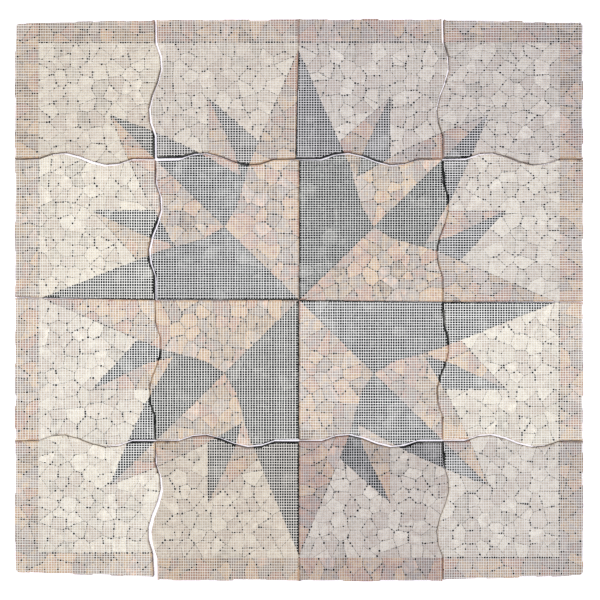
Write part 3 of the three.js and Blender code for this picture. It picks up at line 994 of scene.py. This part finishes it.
# %% Net material
YARN_RIB = 0.8 * MM
YARN_RELIEF = 0.15 * MM
YARN_PATCH = 35 * MM
YARN_COLOURS = ["#d6d4ce", "#e5e3dd", "#f2f0eb"]
YARN_OVER_DARK = "#f4f4f2"
OPACITY = 0.95


def coated_glass_fibre(name):
    """White glass-fibre yarn, faintly soiled in patches and a little see-through from the glue."""
    material, tree = new_material(name)
    place = add_node(tree, "ShaderNodeTexCoord").outputs["Object"]
    patches = add_node(
        tree, "ShaderNodeTexNoise", {"Vector": place, "Scale": 1 / YARN_PATCH, "Detail": 4})
    colour = add_node(tree, "ShaderNodeValToRGB", {"Fac": patches.outputs["Fac"]})
    colour_steps(colour, YARN_COLOURS)
    over_dark = add_node(tree, "ShaderNodeAttribute", attribute_name="over_dark").outputs["Fac"]
    whitened = add_node(
        tree, "ShaderNodeMix",
        {0: over_dark, 6: colour.outputs["Color"], 7: linear(YARN_OVER_DARK)}, data_type="RGBA")
    ribs = add_node(
        tree, "ShaderNodeTexNoise", {"Vector": place, "Scale": 1 / YARN_RIB, "Detail": 2})
    bump = add_node(
        tree, "ShaderNodeBump",
        {"Height": ribs.outputs["Fac"], "Strength": 0.4, "Distance": YARN_RELIEF})
    shader = add_node(
        tree, "ShaderNodeBsdfPrincipled",
        {"Base Color": soiled(tree, whitened.outputs[2]), "Normal": bump.outputs[0],
         "Roughness": 0.5, "IOR": 1.5, "Alpha": OPACITY})
    add_node(tree, "ShaderNodeOutputMaterial", {"Surface": shader.outputs[0]})
    return material


NET_FINISH = coated_glass_fibre("white_coated_glass_fibre")
print("net finish:", NET_FINISH.name)

# %% [markdown]
# ## Laying the nets
# Each net is one piece too. It stands over its CAD node, on top of the stones of its sheet.

# %% Nets of all sheets
strand_count = 0
for number, sheet in enumerate(SHEETS):
    mesh, count = net_mesh(sheet, NET_SEED + number)
    soil_mesh(mesh, sheet)
    strand_count += count
    mesh.materials.append(NET_FINISH)
    piece = bpy.data.objects.new("fibreglass_net_" + sheet, mesh)
    bpy.context.scene.collection.objects.link(piece)
    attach(piece, "root")
    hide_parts("net_" + sheet)
print("strands:", strand_count)

# %% [markdown]
# ## Floor and light
# The sheets lie on a plain white floor under soft light. One broad lamp above the upper left gives
# the walls of the seams their thin shadows, and a white sky fills the rest.

# %% Floor, lamp and sky
FLOOR_HALF = 6
LAMP_SIZE = 1.9
LAMP_POWER = 265
LAMP_PLACE = (-0.3, 0.4, 5)
SKY_STRENGTH = 0.45

floor_data = bpy.data.meshes.new("floor")
floor_shape = bmesh.new()
bmesh.ops.create_grid(floor_shape, x_segments=1, y_segments=1, size=FLOOR_HALF)
floor_shape.to_mesh(floor_data)
floor_shape.free()
floor = bpy.data.objects.new("floor", floor_data)
bpy.context.scene.collection.objects.link(floor)
floor_material, floor_tree = new_material("white_paper_floor")
floor_shader = add_node(
    floor_tree, "ShaderNodeBsdfPrincipled", {"Base Color": linear("#f6f2fb"), "Roughness": 0.9})
add_node(floor_tree, "ShaderNodeOutputMaterial", {"Surface": floor_shader.outputs[0]})
floor_data.materials.append(floor_material)

lamp_data = bpy.data.lights.new("lamp", "AREA")
lamp_data.shape = "SQUARE"
lamp_data.size = LAMP_SIZE
lamp_data.energy = LAMP_POWER
lamp = bpy.data.objects.new("lamp", lamp_data)
lamp.location = LAMP_PLACE
lamp.rotation_euler = (-lamp.location).to_track_quat("-Z", "Y").to_euler()
bpy.context.scene.collection.objects.link(lamp)

sky = bpy.data.worlds.new("sky")
sky.use_nodes = True
sky_light = sky.node_tree.nodes["Background"]
sky_light.inputs["Color"].default_value = linear("#f6f8ff")
sky_light.inputs["Strength"].default_value = SKY_STRENGTH
bpy.context.scene.world = sky
bpy.context.scene.view_settings.view_transform = "Standard"
print("lamp", round(lamp.location.length, 1), "m from the middle of the mosaic")

# %% [markdown]
# ## Triangle count
# The visual model has to keep to the box of the frame. The widened stones and the cut ends of the
# strands pass it by half a millimetre at most. The last step counts the triangles of the new
# pieces.

# %% Triangle count
made = [piece for piece in bpy.data.objects
        if piece.name.startswith("fibreglass") or "_marble_" in piece.name]
triangles = [sum(len(polygon.vertices) - 2 for polygon in piece.data.polygons) for piece in made]
print("triangles:", sum(triangles), "in", len(made), "pieces, at most", max(triangles), "in one")
